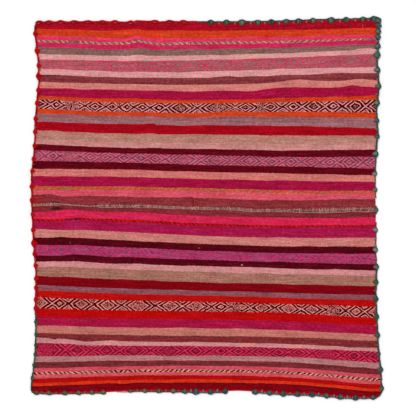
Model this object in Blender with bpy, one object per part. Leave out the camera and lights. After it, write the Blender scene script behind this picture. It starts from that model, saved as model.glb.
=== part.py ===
"""Handwoven blanket of two panels, a stitched centre seam and a crocheted edging, lying flat.

All sizes are in metres. X runs along the warp stripes, Y across them, and Z is up. The underside lies
on the plane z = 0, and the middle of the blanket is at the origin.
"""

import bisect
import math

import bmesh
import bpy
import numpy as np

# Cloth
SHEET = 0.0020
GAP = 0.0003
RIM_ROW = 0.0120
SEAM_ROW = 0.0090
CORNER_CUT = 0.0045
CELLS_ALONG = 48
CELLS_ACROSS = 26
PLACING_ROUNDS = 4

# Outline of the cloth, edging left out
# Columns: place along the edge, distance from the middle of the blanket
LEFT_EDGE = (
    (-0.600, -0.556), (-0.531, -0.552), (-0.474, -0.545), (-0.416, -0.544), (-0.301, -0.543),
    (-0.205, -0.542), (-0.090, -0.551), (0.026, -0.556), (0.102, -0.556), (0.179, -0.548),
    (0.294, -0.543), (0.390, -0.534), (0.467, -0.534), (0.544, -0.542), (0.600, -0.541),
)
RIGHT_EDGE = (
    (-0.600, 0.562), (-0.512, 0.557), (-0.454, 0.550), (-0.378, 0.546), (-0.282, 0.541),
    (-0.186, 0.544), (-0.128, 0.542), (-0.013, 0.544), (0.102, 0.540), (0.179, 0.542),
    (0.237, 0.547), (0.314, 0.543), (0.390, 0.551), (0.467, 0.545), (0.544, 0.549), (0.600, 0.552),
)
TOP_EDGE = (
    (-0.531, 0.591), (-0.339, 0.592), (-0.147, 0.591), (-0.003, 0.593), (0.141, 0.594),
    (0.237, 0.596), (0.333, 0.600), (0.429, 0.602), (0.525, 0.605),
)
SEAM_LINE = (
    (-0.560, 0.008), (-0.483, 0.013), (-0.387, 0.007), (-0.195, 0.005), (-0.099, 0.002),
    (-0.003, -0.001), (0.093, -0.003), (0.141, -0.008), (0.237, -0.008), (0.381, -0.009),
    (0.477, -0.005), (0.545, -0.004),
)
BOTTOM_EDGE = (
    (-0.550, -0.592), (-0.454, -0.593), (-0.320, -0.590), (-0.224, -0.585), (-0.147, -0.586),
    (0.006, -0.588), (0.102, -0.585), (0.160, -0.588), (0.237, -0.594), (0.352, -0.597),
    (0.390, -0.601), (0.448, -0.606), (0.544, -0.607),
)

# Soft ridges that the cloth keeps from its folding and use
# Columns: x and y of one end, x and y of the other end, half width, height
RIDGES = (
    (-0.090, 0.195, 0.003, 0.259, 0.021, 0.0055),
    (0.003, 0.259, 0.093, 0.291, 0.020, 0.0045),
    (0.157, 0.346, 0.259, 0.410, 0.023, 0.0050),
    (0.259, 0.410, 0.397, 0.394, 0.025, 0.0045),
    (0.365, 0.240, 0.438, 0.282, 0.020, 0.0040),
    (0.451, 0.195, 0.500, 0.214, 0.020, 0.0040),
    (0.400, 0.490, 0.490, 0.530, 0.022, 0.0045),
    (-0.480, 0.426, -0.349, 0.426, 0.020, 0.0045),
    (-0.470, 0.065, -0.400, 0.090, 0.022, 0.0045),
    (-0.480, -0.062, -0.400, -0.090, 0.021, 0.0045),
    (-0.480, -0.413, -0.394, -0.413, 0.020, 0.0045),
    (-0.403, -0.350, -0.330, -0.358, 0.020, 0.0035),
    (0.387, -0.358, 0.470, -0.445, 0.022, 0.0050),
    (0.399, -0.500, 0.420, -0.490, 0.022, 0.0035),
    (-0.325, -0.205, -0.290, -0.175, 0.020, 0.0035),
    (-0.245, -0.225, -0.215, -0.200, 0.020, 0.0035),
    (-0.221, -0.540, -0.221, -0.060, 0.020, 0.0022),
    (-0.221, 0.060, -0.221, 0.540, 0.020, 0.0026),
    (0.278, -0.540, 0.278, -0.060, 0.020, 0.0020),
    (0.278, 0.060, 0.278, 0.300, 0.020, 0.0020),
)
FLAT_UNDER = 0.0002
FLAT_RIM = 0.0140
FADE_WIDTH = 0.0450

# Crocheted edging
CORD_OUT = 0.0060
CORD_IN = 0.0006
SHELL_OUT = 0.0100
SHELL_IN = 0.0075
SHELL_HALF_FOOT = 0.0065
SHELL_HALF_TOP = 0.0020
FLANGE = 0.0012
RUN_END = 0.0002
STATION_CLEAR = 0.0015

# Columns: name, side, start and end along that side going clockwise (None is the corner)
EDGING_RUNS = (
    ("edging_red_top", "top", None, -0.026),
    ("edging_green_top", "top", -0.026, None),
    ("edging_green_right_upper", "right", None, 0.032),
    ("edging_green_right_middle", "right", 0.007, -0.019),
    ("edging_green_right_lower", "right", -0.045, None),
    ("edging_green_bottom_right", "bottom", None, 0.147),
    ("edging_green_bottom_middle", "bottom", 0.067, -0.250),
    ("edging_green_bottom_left", "bottom", -0.320, None),
    ("edging_green_left", "left", None, -0.341),
    ("edging_red_left", "left", -0.341, None),
)

# Columns: side, place of the first shell, place of the last one, number, last pitch over first pitch
SHELL_GROUPS = (
    ("top", -0.536, -0.070, 12, 1.30),
    ("top", 0.015, 0.543, 12, 1.00),
    ("right", 0.568, 0.065, 11, 1.60),
    ("right", -0.006, -0.006, 1, 1.00),
    ("right", -0.060, -0.577, 10, 1.00),
    ("bottom", 0.532, 0.157, 9, 0.84),
    ("bottom", 0.060, -0.241, 8, 1.00),
    ("bottom", -0.330, -0.545, 6, 1.35),
    ("left", -0.566, -0.360, 7, 1.00),
    ("left", -0.322, 0.026, 10, 1.45),
    ("left", 0.069, 0.554, 13, 1.00),
)

# Joining stitches
STITCH_PITCH = 0.0090
STITCH_HALF_CREST = 0.0060
STITCH_HALF_VALLEY = 0.0050
STITCH_CREST = 0.0014
STITCH_VALLEY = 0.0007
SEAM_END_LEFT = 0.0020
SEAM_END_RIGHT = 0.0090

# Colours, as red, green and blue from 0 to 1 in linear light
UPPER_RED = (0.37, 0.02, 0.03)
LOWER_RED = (0.24, 0.01, 0.03)
SEAM_GREY = (0.28, 0.16, 0.14)
EDGING_RED = (0.60, 0.01, 0.01)
EDGING_GREEN = (0.04, 0.14, 0.09)
WOOL_ROUGHNESS = 0.9


def clear_scene():
    for item in list(bpy.data.objects):
        bpy.data.objects.remove(item, do_unlink=True)


def wool(name, colour):
    material = bpy.data.materials.new(name)
    material.use_nodes = True
    shader = material.node_tree.nodes["Principled BSDF"]
    shader.inputs["Base Color"].default_value = (*colour, 1.0)
    shader.inputs["Roughness"].default_value = WOOL_ROUGHNESS
    shader.inputs["Metallic"].default_value = 0.0
    return material


def add_solid(name, points, faces, material):
    """Add one closed mesh whose faces all point outwards."""
    mesh = bpy.data.meshes.new(name)
    mesh.from_pydata(points, [], faces)
    shape = bmesh.new()
    shape.from_mesh(mesh)
    bmesh.ops.recalc_face_normals(shape, faces=shape.faces)
    shape.to_mesh(mesh)
    shape.free()
    mesh.materials.append(material)
    item = bpy.data.objects.new(name, mesh)
    bpy.context.scene.collection.objects.link(item)
    return item


def read(table, place):
    """Read a two-column table at a place between its rows."""
    places, values = zip(*table)
    return float(np.interp(place, places, values))


def bottom_line(x):
    return read(BOTTOM_EDGE, x)


def below_seam(x):
    return read(SEAM_LINE, x) - GAP / 2


def above_seam(x):
    return read(SEAM_LINE, x) + GAP / 2


def top_line(x):
    return read(TOP_EDGE, x)


def grid_shares(length, first_row, last_row, cells):
    """Shares of a length: a narrow first row, even cells, and a narrow last row."""
    inner = np.linspace(first_row, length - last_row, cells + 1)
    return [0.0, *(inner / length), 1.0]


def cloth_point(along, across, lower_line, upper_line):
    """Place one grid corner by its shares of the panel's length and width."""
    y = (lower_line(0.0) + upper_line(0.0)) / 2
    for _ in range(PLACING_ROUNDS):
        left = read(LEFT_EDGE, y)
        x = left + along * (read(RIGHT_EDGE, y) - left)
        y = lower_line(x) + across * (upper_line(x) - lower_line(x))
    return x, y


def panel_grid(lower_line, upper_line, first_row, last_row, cut_row):
    """Grid of a panel's corners as [column][row] = (x, y), its two outer corners cut short."""
    length = read(RIGHT_EDGE, 0.0) - read(LEFT_EDGE, 0.0)
    width = upper_line(0.0) - lower_line(0.0)
    columns = grid_shares(length, RIM_ROW, RIM_ROW, CELLS_ALONG)
    rows = grid_shares(width, first_row, last_row, CELLS_ACROSS)
    grid = [[cloth_point(u, v, lower_line, upper_line) for v in rows] for u in columns]
    inwards = CORNER_CUT if cut_row == 0 else -CORNER_CUT
    for column, step in ((0, CORNER_CUT), (-1, -CORNER_CUT)):
        x, y = grid[column][cut_row]
        grid[column][cut_row] = (x + step, y + inwards)
    return grid


def segment_distance(x, y, ridge):
    """Distance from a point to a ridge's line."""
    x0, y0, x1, y1 = ridge[:4]
    run, rise = x1 - x0, y1 - y0
    share = ((x - x0) * run + (y - y0) * rise) / (run * run + rise * rise)
    share = min(max(share, 0.0), 1.0)
    return math.hypot(x - x0 - share * run, y - y0 - share * rise)


def rim_fade(x, y):
    """Nought along the rim and the seam, where the cloth lies flat, and one away from them."""
    nearest = min(
        x - read(LEFT_EDGE, y),
        read(RIGHT_EDGE, y) - x,
        top_line(x) - y,
        y - bottom_line(x),
        abs(y - read(SEAM_LINE, x)),
    )
    share = min(max((nearest - FLAT_RIM) / FADE_WIDTH, 0.0), 1.0)
    return share * share * (3 - 2 * share)


def lift(x, y):
    """Height of the cloth's underside over the plane it lies on."""
    total = 0.0
    for ridge in RIDGES:
        half_width, height = ridge[4:]
        total += height * math.exp(-((segment_distance(x, y, ridge) / half_width) ** 2))
    return max(total * rim_fade(x, y) - FLAT_UNDER, 0.0)


def cell_triangles(a, b, c, d, flip):
    """Two triangles of a grid cell whose corners are a, b, c, d in turn."""
    if flip:
        return [(a, b, d), (b, c, d)]
    return [(a, b, c), (a, c, d)]


def build_panel(name, grid, material):
    """Make a sheet of even thickness over the panel's grid."""
    columns, rows = len(grid), len(grid[0])
    flat = [point for column in grid for point in column]
    heights = [lift(x, y) for x, y in flat]
    points = [(x, y, z) for (x, y), z in zip(flat, heights)]
    points += [(x, y, z + SHEET) for (x, y), z in zip(flat, heights)]
    top = len(flat)
    faces = []
    for i in range(columns - 1):
        for j in range(rows - 1):
            a, b = i * rows + j, (i + 1) * rows + j
            corners = (a, b, b + 1, a + 1)
            flip = (i + j) % 2 == 0
            faces += cell_triangles(*corners, flip)
            faces += cell_triangles(*(top + k for k in corners), flip)
    rim = [i * rows for i in range(columns)]
    rim += [(columns - 1) * rows + j for j in range(1, rows)]
    rim += [i * rows + rows - 1 for i in range(columns - 2, -1, -1)]
    rim += [j for j in range(rows - 2, 0, -1)]
    for a, b in zip(rim, rim[1:] + rim[:1]):
        faces.append((a, b, top + b, top + a))
    return add_solid(name, points, faces, material)


class Rim:
    """The cloth's outline as one polyline, clockwise from the top left corner."""

    def __init__(self, upper, lower):
        sides = {
            "top": [column[-1] for column in upper],
            "right": upper[-1][::-1] + lower[-1][::-1],
            "bottom": [column[0] for column in lower[::-1]],
            "left": lower[0] + upper[0],
        }
        self.points = []
        self.bounds = {}
        for side, line in sides.items():
            self.bounds[side] = (len(self.points), len(self.points) + len(line) - 1)
            self.points += line[:-1]
        self.points.append(self.points[0])
        self.lengths = [0.0]
        for a, b in zip(self.points, self.points[1:]):
            self.lengths.append(self.lengths[-1] + math.dist(a, b))

    def at(self, side, place):
        """Length along the outline of a place on one side, x along top and bottom and y elsewhere."""
        first, last = self.bounds[side]
        axis = 0 if side in ("top", "bottom") else 1
        places = [point[axis] for point in self.points[first : last + 1]]
        lengths = self.lengths[first : last + 1]
        if places[0] > places[-1]:
            places, lengths = places[::-1], lengths[::-1]
        return float(np.interp(place, places, lengths))

    def ends(self, side):
        first, last = self.bounds[side]
        return self.lengths[first], self.lengths[last]

    def direction(self, index):
        (x0, y0), (x1, y1) = self.points[index], self.points[index + 1]
        size = math.hypot(x1 - x0, y1 - y0)
        return (x1 - x0) / size, (y1 - y0) / size

    def station(self, length):
        """Point, tangent and outward normal at a length, the normal mitred at a corner of the outline."""
        last = len(self.points) - 2
        index = min(max(bisect.bisect_right(self.lengths, length) - 1, 0), last)
        before = after = self.direction(index)
        if abs(length - self.lengths[index]) < GAP / 10:
            before = self.direction(index - 1 if index else last)
        elif abs(length - self.lengths[index + 1]) < GAP / 10:
            after = self.direction(index + 1 if index < last else 0)
        share = (length - self.lengths[index]) / (self.lengths[index + 1] - self.lengths[index])
        (x0, y0), (x1, y1) = self.points[index], self.points[index + 1]
        point = (x0 + share * (x1 - x0), y0 + share * (y1 - y0))
        tangent = (before[0] + after[0], before[1] + after[1])
        size = math.hypot(*tangent)
        tangent = (tangent[0] / size, tangent[1] / size)
        stretch = 1 / (tangent[0] * after[0] + tangent[1] * after[1])
        return point, tangent, (-tangent[1] * stretch, tangent[0] * stretch)


def shell_lengths(rim):
    """Lengths along the outline at which the shells stand."""
    lengths = []
    for side, first, last, count, growth in SHELL_GROUPS:
        steps = [1 + (growth - 1) * k / max(count - 2, 1) for k in range(count - 1)]
        total = sum(steps) or 1.0
        for k in range(count):
            share = sum(steps[:k]) / total
            lengths.append(rim.at(side, first + share * (last - first)))
    return sorted(lengths)


def shell_share(length, shells):
    """One at a shell's middle and nought on the plain cord between shells."""
    nearest = min(abs(length - shell) for shell in shells)
    slope = SHELL_HALF_FOOT - SHELL_HALF_TOP
    return min(max((SHELL_HALF_FOOT - nearest) / slope, 0.0), 1.0)


def run_lengths(rim, shells, start, end):
    """Stations of a run: its ends, the outline's own corners and the corners of its shells."""
    corners = [length for length in rim.lengths if start < length < end]
    wanted = [start, end, *corners]
    for shell in shells:
        for step in (-SHELL_HALF_FOOT, -SHELL_HALF_TOP, SHELL_HALF_TOP, SHELL_HALF_FOOT):
            if start < shell + step < end:
                if min(abs(shell + step - length) for length in wanted) > STATION_CLEAR:
                    wanted.append(shell + step)
    return sorted(wanted)


def edging_ring(rim, shells, length, shift):
    """L-shaped section of the edging: a cord outside the cloth, and a flange over its face."""
    (x, y), tangent, normal = rim.station(length)
    x, y = x + tangent[0] * shift, y + tangent[1] * shift
    share = shell_share(length, shells)
    outer = CORD_OUT + share * (SHELL_OUT - CORD_OUT)
    inner = -(CORD_IN + share * (SHELL_IN - CORD_IN))
    seat = SHEET + GAP
    section = (
        (outer, 0.0),
        (GAP, 0.0),
        (GAP, seat),
        (inner, seat),
        (inner, seat + FLANGE),
        (outer, seat + FLANGE),
    )
    return [(x + normal[0] * out, y + normal[1] * out, z) for out, z in section]


def sweep(name, rings, material):
    """Join rings of points into one closed solid."""
    size = len(rings[0])
    points = [point for ring in rings for point in ring]
    faces = [tuple(range(size)), tuple(range(len(points) - size, len(points)))]
    for k in range(len(rings) - 1):
        for i in range(size):
            a, b = k * size + i, k * size + (i + 1) % size
            faces.append((a, b, b + size, a + size))
    return add_solid(name, points, faces, material)


def build_edging_run(rim, shells, row, material):
    name, side, start, end = row
    first_corner, last_corner = rim.ends(side)
    start = first_corner if start is None else rim.at(side, start)
    end = last_corner if end is None else rim.at(side, end)
    lengths = run_lengths(rim, shells, start, end)
    shifts = [RUN_END, *[0.0] * (len(lengths) - 2), -RUN_END]
    rings = [edging_ring(rim, shells, s, shift) for s, shift in zip(lengths, shifts)]
    return sweep(name, rings, material)


def build_seam(material):
    """Make the joining stitches as one ribbed strip over both panels' selvedges."""
    left = read(LEFT_EDGE, SEAM_LINE[0][1]) + SEAM_END_LEFT
    right = read(RIGHT_EDGE, SEAM_LINE[-1][1]) - SEAM_END_RIGHT
    count = 2 * round((right - left) / STITCH_PITCH)
    seat = SHEET + GAP
    rings = []
    for k in range(count + 1):
        x = left + (right - left) * k / count
        y = read(SEAM_LINE, x)
        crest = k % 2 == 1
        half = STITCH_HALF_CREST if crest else STITCH_HALF_VALLEY
        top = seat + (STITCH_CREST if crest else STITCH_VALLEY)
        rings.append([(x, y - half, seat), (x, y + half, seat), (x, y + half, top), (x, y - half, top)])
    return sweep("seam_stitch", rings, material)


def build():
    clear_scene()
    upper = panel_grid(above_seam, top_line, SEAM_ROW, RIM_ROW, -1)
    lower = panel_grid(bottom_line, below_seam, RIM_ROW, SEAM_ROW, 0)
    build_panel("panel_upper", upper, wool("upper_wool", UPPER_RED))
    build_panel("panel_lower", lower, wool("lower_wool", LOWER_RED))
    build_seam(wool("seam_wool", SEAM_GREY))
    red = wool("red_yarn", EDGING_RED)
    green = wool("green_yarn", EDGING_GREEN)
    rim = Rim(upper, lower)
    shells = shell_lengths(rim)
    for row in EDGING_RUNS:
        build_edging_run(rim, shells, row, red if "red" in row[0] else green)


build()
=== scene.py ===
"""Looks of the handwoven blanket: two striped panels, their joining stitches and the crocheted edging.

All sizes are in metres. X runs along the warp stripes, Y across them, and Z is up. Tones are hex sRGB.
"""

import functools
import math

import bpy
import numpy as np
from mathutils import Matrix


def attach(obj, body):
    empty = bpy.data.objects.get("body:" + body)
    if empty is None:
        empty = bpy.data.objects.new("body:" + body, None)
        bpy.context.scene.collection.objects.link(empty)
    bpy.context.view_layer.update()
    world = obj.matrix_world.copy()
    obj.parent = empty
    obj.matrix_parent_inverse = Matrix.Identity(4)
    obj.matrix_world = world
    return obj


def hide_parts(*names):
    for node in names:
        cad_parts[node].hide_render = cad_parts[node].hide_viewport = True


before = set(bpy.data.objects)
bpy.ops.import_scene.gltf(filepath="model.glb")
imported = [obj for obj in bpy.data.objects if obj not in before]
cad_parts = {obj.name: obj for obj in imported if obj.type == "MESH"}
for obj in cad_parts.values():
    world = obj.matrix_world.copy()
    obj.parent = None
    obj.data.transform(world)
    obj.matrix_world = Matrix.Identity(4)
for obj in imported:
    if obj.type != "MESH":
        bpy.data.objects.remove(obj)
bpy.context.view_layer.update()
rng = np.random.default_rng(7)

# Cloth
SHEET = 0.0020
GAP = 0.0003
LOOM_LENGTH = 1.10
COLUMN_STEP = 0.0043
ROW_STEP = 0.0052
LOWER_START = -0.001
CORNER_RADII = {(1, 1): 0.016, (1, -1): 0.015, (-1, 1): 0.026, (-1, -1): 0.009}
RIM_INSET = 0.0007
RIM_DROP = 0.0004
PLACING_ROUNDS = 4
EDGE_WANDER = 0.0006
WANDER_STEP = 0.0450
PICK_JITTER = 0.0003
FLAT_UNDER = 0.0002
FLAT_RIM = 0.0140
FADE_WIDTH = 0.0450
SEAM_RISE = 0.0005
SEAM_RISE_WIDTH = 0.0080
UNDULATION = 0.0004
DEEPEST_TROUGH = 0.0009
BAKE_MARGIN = 0.01
BAKE_RIM = 0.004

# Looks of wool
BUMP_STRENGTH = 0.6
CLOTH_DEPTH = 0.0007
YARN_DEPTH = 0.0006
RIB_PITCH = 0.0027
PLY_PITCH = 0.0032
WOOL_SHEEN = {
    "Specular IOR Level": 0.03, "Sheen Weight": 0.03,
    "Sheen Roughness": 0.5, "Sheen Tint": (1.0, 0.6, 0.55, 1.0),
}

# Outline of the cloth, edging left out
# Columns: place along the edge, distance from the middle of the blanket
LEFT_EDGE = (
    (-0.600, -0.561), (-0.531, -0.554), (-0.474, -0.546), (-0.416, -0.544), (-0.301, -0.543),
    (-0.205, -0.542), (-0.090, -0.551), (0.026, -0.556), (0.102, -0.556), (0.179, -0.548),
    (0.294, -0.543), (0.390, -0.534), (0.467, -0.534), (0.544, -0.544), (0.600, -0.546),
)
RIGHT_EDGE = (
    (-0.600, 0.562), (-0.512, 0.557), (-0.454, 0.550), (-0.378, 0.546), (-0.282, 0.541),
    (-0.186, 0.544), (-0.128, 0.542), (-0.013, 0.544), (0.102, 0.540), (0.179, 0.542),
    (0.237, 0.547), (0.314, 0.543), (0.390, 0.551), (0.467, 0.545), (0.544, 0.549), (0.600, 0.552),
)
TOP_EDGE = (
    (-0.531, 0.593), (-0.339, 0.594), (-0.229, 0.592), (-0.221, 0.597), (-0.190, 0.595), (-0.147, 0.594),
    (-0.003, 0.594), (0.141, 0.594), (0.237, 0.596), (0.333, 0.600), (0.429, 0.602), (0.525, 0.605),
)
SEAM_LINE = (
    (-0.560, 0.008), (-0.483, 0.013), (-0.387, 0.007), (-0.195, 0.005), (-0.099, 0.002),
    (-0.003, -0.001), (0.093, -0.003), (0.141, -0.008), (0.237, -0.008), (0.381, -0.009),
    (0.477, -0.005), (0.545, -0.004),
)
BOTTOM_EDGE = (
    (-0.550, -0.592), (-0.454, -0.593), (-0.320, -0.590), (-0.224, -0.585), (-0.147, -0.586),
    (0.006, -0.588), (0.102, -0.585), (0.160, -0.588), (0.237, -0.594), (0.352, -0.597),
    (0.390, -0.601), (0.448, -0.606), (0.544, -0.607),
)

# Warp stripes from the top down, those named band or twist in a weave of their own
# Columns: name, width, tone, tone along its lower edge where that differs
UPPER_STRIPES = (
    ("top selvedge", 0.0030, "b40c28"), ("red", 0.0217, "a6081e"), ("orange", 0.0223, "d03b1a"),
    ("pink", 0.0127, "dd365a"), ("tan twist", 0.0074, "d8a088"), ("low pink", 0.0146, "ce2252"),
    ("taupe", 0.0196, "7f5f57", "88605b"), ("pale pink", 0.0157, "db9796"), ("grey band", 0.0352, "d8245a"),
    ("low pale pink", 0.0194, "da9797"), ("wine", 0.0225, "8a3a3e", "7b2c33"),
    ("salmon", 0.0202, "d18077", "cf776f"), ("magenta", 0.0286, "a30e3b"),
    ("orange line", 0.0121, "c43a10", "d1401c"), ("black band", 0.0310, "e0a09a"),
    ("low orange line", 0.0153, "ce3d18"), ("mauve", 0.0278, "8d5961", "9f696c"),
    ("deep red", 0.0294, "a40417"), ("tan", 0.0268, "b0796a", "b67e70"),
    ("dusty pink", 0.0192, "c0807a", "ce8886"), ("maroon", 0.0196, "5f0413"), ("blue band", 0.0315, "e0506c"),
    ("low maroon", 0.0232, "5c0312"), ("low salmon", 0.0230, "ce726b"), ("low magenta", 0.0302, "a10f3c"),
    ("grey twist", 0.0108, "d0481c"), ("coral", 0.0203, "d34f60"), ("brown", 0.0312, "872e33"),
)
LOWER_STRIPES = (
    ("brown", 0.0220, "812830"), ("hot pink", 0.0235, "d3234e"), ("dark twist", 0.0072, "c01018"),
    ("magenta", 0.0323, "a01244", "a81647"), ("salmon", 0.0276, "c77971"),
    ("maroon", 0.0219, "530412", "4d0310"), ("violet band", 0.0298, "d02058"),
    ("low maroon", 0.0205, "4a0510", "590415"), ("dusty pink", 0.0179, "cc8788"), ("tan", 0.0330, "a36d5e"),
    ("crimson", 0.0286, "80020f", "7c010d"), ("mauve", 0.0160, "845260", "8c4b4f"),
    ("red", 0.0209, "b80a0a"), ("brown band", 0.0306, "e09080"), ("low red", 0.0262, "b60607"),
    ("low magenta", 0.0285, "a4123e"), ("low salmon", 0.0245, "bf7166"), ("wine", 0.0205, "7c292d"),
    ("pale pink", 0.0130, "cb8787"), ("rose band", 0.0305, "cc1f4a"),
    ("pale mauve", 0.0170, "ad7475", "b47878"), ("umber", 0.0181, "75282e"),
    ("coral", 0.0123, "cd4b5b"), ("maroon twist", 0.0086, "c08858"),
    ("low coral", 0.0109, "cf505c"), ("thin red", 0.0139, "af0808"), ("orange", 0.0099, "d03012"),
    ("low crimson", 0.0190, "740310", "800212"), ("low selvedge", 0.0040, "b80018", "cc0018"),
)

# Courses of some stripes, each given by the height of its upper edge at five places
COURSE_PLACES = (-0.530, -0.280, 0.000, 0.280, 0.530)
UPPER_COURSES = {
    "orange": (0.574, 0.569, 0.568, 0.570, 0.576),
    "taupe": (0.515, 0.508, 0.509, 0.515, 0.524),
    "grey band": (0.476, 0.471, 0.474, 0.482, 0.493),
    "low pale pink": (0.446, 0.436, 0.437, 0.446, 0.451),
    "magenta": (0.384, 0.378, 0.374, 0.382, 0.388),
    "orange line": (0.359, 0.349, 0.346, 0.352, 0.360),
    "black band": (0.347, 0.337, 0.335, 0.339, 0.346),
    "low orange line": (0.318, 0.308, 0.305, 0.309, 0.305),
    "deep red": (0.276, 0.268, 0.265, 0.262, 0.256),
    "dusty pink": (0.222, 0.211, 0.209, 0.205, 0.209),
    "blue band": (0.185, 0.175, 0.169, 0.163, 0.164),
    "low maroon": (0.150, 0.146, 0.138, 0.133, 0.127),
    "low magenta": (0.102, 0.100, 0.093, 0.087, 0.084),
    "grey twist": (0.069, 0.069, 0.063, 0.056, 0.056),
    "coral": (0.056, 0.058, 0.053, 0.046, 0.047),
    "brown": (0.043, 0.037, 0.031, 0.025, 0.030),
}
LOWER_COURSES = {
    "hot pink": (-0.014, -0.013, -0.025, -0.032, -0.031),
    "dark twist": (-0.035, -0.036, -0.050, -0.055, -0.053),
    "magenta": (-0.042, -0.044, -0.058, -0.063, -0.061),
    "salmon": (-0.068, -0.076, -0.090, -0.096, -0.095),
    "maroon": (-0.095, -0.103, -0.115, -0.123, -0.123),
    "violet band": (-0.118, -0.125, -0.137, -0.145, -0.146),
    "low maroon": (-0.152, -0.157, -0.166, -0.174, -0.180),
    "crimson": (-0.218, -0.228, -0.238, -0.244, -0.250),
    "brown band": (-0.285, -0.296, -0.300, -0.308, -0.316),
    "low red": (-0.322, -0.327, -0.331, -0.337, -0.352),
    "low salmon": (-0.377, -0.382, -0.385, -0.392, -0.404),
    "wine": (-0.400, -0.406, -0.410, -0.414, -0.425),
    "pale pink": (-0.414, -0.426, -0.430, -0.436, -0.448),
    "rose band": (-0.431, -0.440, -0.442, -0.449, -0.459),
    "pale mauve": (-0.475, -0.472, -0.474, -0.477, -0.495),
    "coral": (-0.513, -0.507, -0.505, -0.512, -0.533),
    "orange": (-0.560, -0.551, -0.549, -0.556, -0.578),
    "low crimson": (-0.570, -0.561, -0.559, -0.565, -0.587),
}

# Places where the stripes are pulled out of their courses
# Columns: x, y, reach to the left, reach to the right, half height, rise
BULGES = (
    (-0.219, 0.555, 0.026, 0.020, 0.050, 0.0050),
    (-0.234, 0.345, 0.026, 0.026, 0.024, 0.0030),
    (-0.440, 0.462, 0.030, 0.030, 0.016, 0.0015),
    (-0.168, 0.262, 0.050, 0.005, 0.036, 0.0045),
    (-0.146, 0.204, 0.050, 0.004, 0.014, 0.0030),
    (0.300, 0.400, 0.050, 0.050, 0.012, 0.0065),
    (0.470, 0.392, 0.034, 0.022, 0.014, 0.0060),
    (0.235, 0.376, 0.030, 0.090, 0.022, 0.0045),
    (0.160, 0.366, 0.060, 0.020, 0.022, -0.0030),
    (0.510, 0.507, 0.034, 0.030, 0.009, 0.0060),
    (-0.440, -0.012, 0.046, 0.056, 0.012, 0.0085),
    (-0.503, 0.046, 0.030, 0.026, 0.012, 0.0025),
    (-0.434, 0.040, 0.022, 0.030, 0.012, -0.0035),
    (-0.050, 0.034, 0.040, 0.008, 0.010, 0.0030),
    (0.085, 0.302, 0.045, 0.045, 0.014, 0.0055),
    (0.070, 0.418, 0.040, 0.030, 0.010, 0.0040),
    (-0.405, -0.130, 0.050, 0.060, 0.080, 0.0036),
    (-0.410, -0.155, 0.045, 0.050, 0.016, 0.0032),
    (-0.385, -0.424, 0.045, 0.040, 0.012, -0.0055),
    (-0.330, 0.540, 0.035, 0.030, 0.040, -0.0030),
    (-0.205, 0.520, 0.030, 0.030, 0.030, 0.0030),
    (-0.140, 0.535, 0.030, 0.030, 0.030, -0.0026),
    (-0.400, -0.042, 0.040, 0.040, 0.012, 0.0045),
    (-0.467, -0.098, 0.024, 0.026, 0.010, 0.0040),
    (-0.467, 0.040, 0.022, 0.020, 0.010, -0.0035),
    (-0.395, -0.444, 0.040, 0.040, 0.008, -0.0040),
    (0.498, 0.412, 0.032, 0.026, 0.010, 0.0050),
    (0.420, 0.431, 0.060, 0.060, 0.009, 0.0030),
)

# Patterned bands
# Columns: tone of the light yarn, tone of the dark yarn, share of the lines that the light one takes,
# rings of a lozenge before its mixed core
BAND_TONES = {
    "grey band": ("e01c5a", "7a6c62", 0.46, 4.5),
    "black band": ("fca2a0", "460006", 0.29, 4.5),
    "blue band": ("e8566c", "5c4258", 0.40, 5.0),
    "violet band": ("e01c58", "6c4468", 0.41, 4.0),
    "brown band": ("fe948c", "400002", 0.29, 3.5),
    "rose band": ("da2e54", "740e2a", 0.41, 4.5),
}
# Where the lines of a band cross, first with dark crossing lines and then with light ones
BAND_CROSSINGS = {
    "grey band": (
        (-0.502, -0.453, -0.390, -0.339, -0.272, -0.173, 0.090, 0.186, 0.246, 0.374),
        (-0.307, -0.224, -0.122, -0.003, 0.310, 0.432, 0.496),
    ),
    "black band": (
        (-0.454, -0.390, -0.323, -0.280, -0.230, -0.179, -0.029, 0.165, 0.243, 0.435),
        (-0.499, -0.131, 0.093, 0.307, 0.381, 0.510),
    ),
    "blue band": (
        (-0.515, -0.467, -0.403, -0.291, -0.237, -0.131, 0.090, 0.304, 0.365, 0.502),
        (-0.347, -0.189, -0.016, 0.179, 0.243, 0.419),
    ),
    "violet band": (
        (-0.486, -0.442, -0.352, -0.272, -0.170, -0.051, 0.070, 0.429, 0.506),
        (0.010, 0.131, 0.218, 0.307, 0.365),
    ),
    "brown band": (
        (-0.442, -0.360, -0.272, -0.163, 0.016, 0.077, 0.218, 0.381, 0.445),
        (-0.493, -0.077, 0.141, 0.304, 0.506),
    ),
    "rose band": (
        (-0.368, -0.179, 0.010, 0.138, 0.339, 0.432),
        (-0.451, -0.278, -0.070, 0.074, 0.202, 0.262, 0.506),
    ),
}
# Stretches of a band woven as a fine mixture of both yarns
# Columns: middle, half length
BAND_MIXTURES = {
    "grey band": ((-0.422, 0.026), (-0.528, 0.018), (0.187, 0.008), (0.340, 0.014)),
    "black band": ((-0.429, 0.023), (-0.560, 0.026), (0.176, 0.010)),
    "blue band": ((-0.435, 0.025), (-0.560, 0.024)),
    "violet band": ((-0.540, 0.033), (0.396, 0.023)),
    "brown band": ((0.096, 0.013), (0.404, 0.021)),
    "rose band": ((-0.530, 0.036), (0.389, 0.024)),
}
LINE_SLOPE = 0.64
LINE_STEP = 0.0048
OUTER_RINGS = 1.6
MIX_ALONG = 0.0019
MIX_ACROSS = 0.0010

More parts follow.
